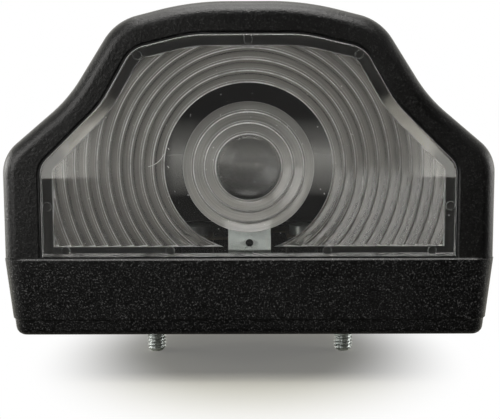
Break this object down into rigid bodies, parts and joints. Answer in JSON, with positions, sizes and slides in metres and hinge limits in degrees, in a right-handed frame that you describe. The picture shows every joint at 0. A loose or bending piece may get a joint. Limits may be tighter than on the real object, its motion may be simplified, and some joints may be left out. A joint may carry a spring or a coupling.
{
  "type": "number plate lamp",
  "caption": "Number plate lamp with a black moulded base and bell-shaped hood, a clear lens with Fresnel rings, a bayonet bulb on its bracket inside and mounting studs below.",
  "frame": {"origin": "on the base's mounting face, midway between the studs", "axes": "+Z away from the mounting face, the lens looks along -Y, +X to the right as the lens is looked at from its front"},
  "size_m": [0.0888, 0.057, 0.0695],
  "materials": {
    "housing": "fine grained black moulding",
    "lens": "clear and polished",
    "gasket": "matte",
    "grommet": "matte",
    "zinc_plate": "bright zinc plated",
    "zinc_sheet": "zinc plated sheet",
    "contact_brass": "rolled sheet",
    "bulb_glass": "clear",
    "filament": "drawn wire",
    "nickel_cap": "nickel plated",
    "vitrite": "black glass filling",
    "solder": "solder"
  },
  "bodies": {
    "root": {"base_housing": "housing", "hood": "housing", "lens": "lens", "seam_gasket": "gasket", "cable_grommet": "grommet", "stud_left": "zinc_plate", "stud_right": "zinc_plate", "hood_screw_left": "zinc_plate", "hood_screw_right": "zinc_plate", "bulb_bracket": "zinc_sheet", "bracket_rivet_left": "zinc_sheet", "bracket_rivet_right": "zinc_sheet", "socket_sleeve": "zinc_sheet", "contact_leaf": "contact_brass", "earth_strip": "contact_brass", "live_screw": "zinc_plate", "earth_screw": "zinc_plate", "bulb_glass": "bulb_glass", "bulb_stem": "bulb_glass", "bulb_filament": "filament", "bulb_cap": "nickel_cap", "bulb_insulator": "vitrite", "bulb_contact": "solder"}
  },
  "joints": []
}
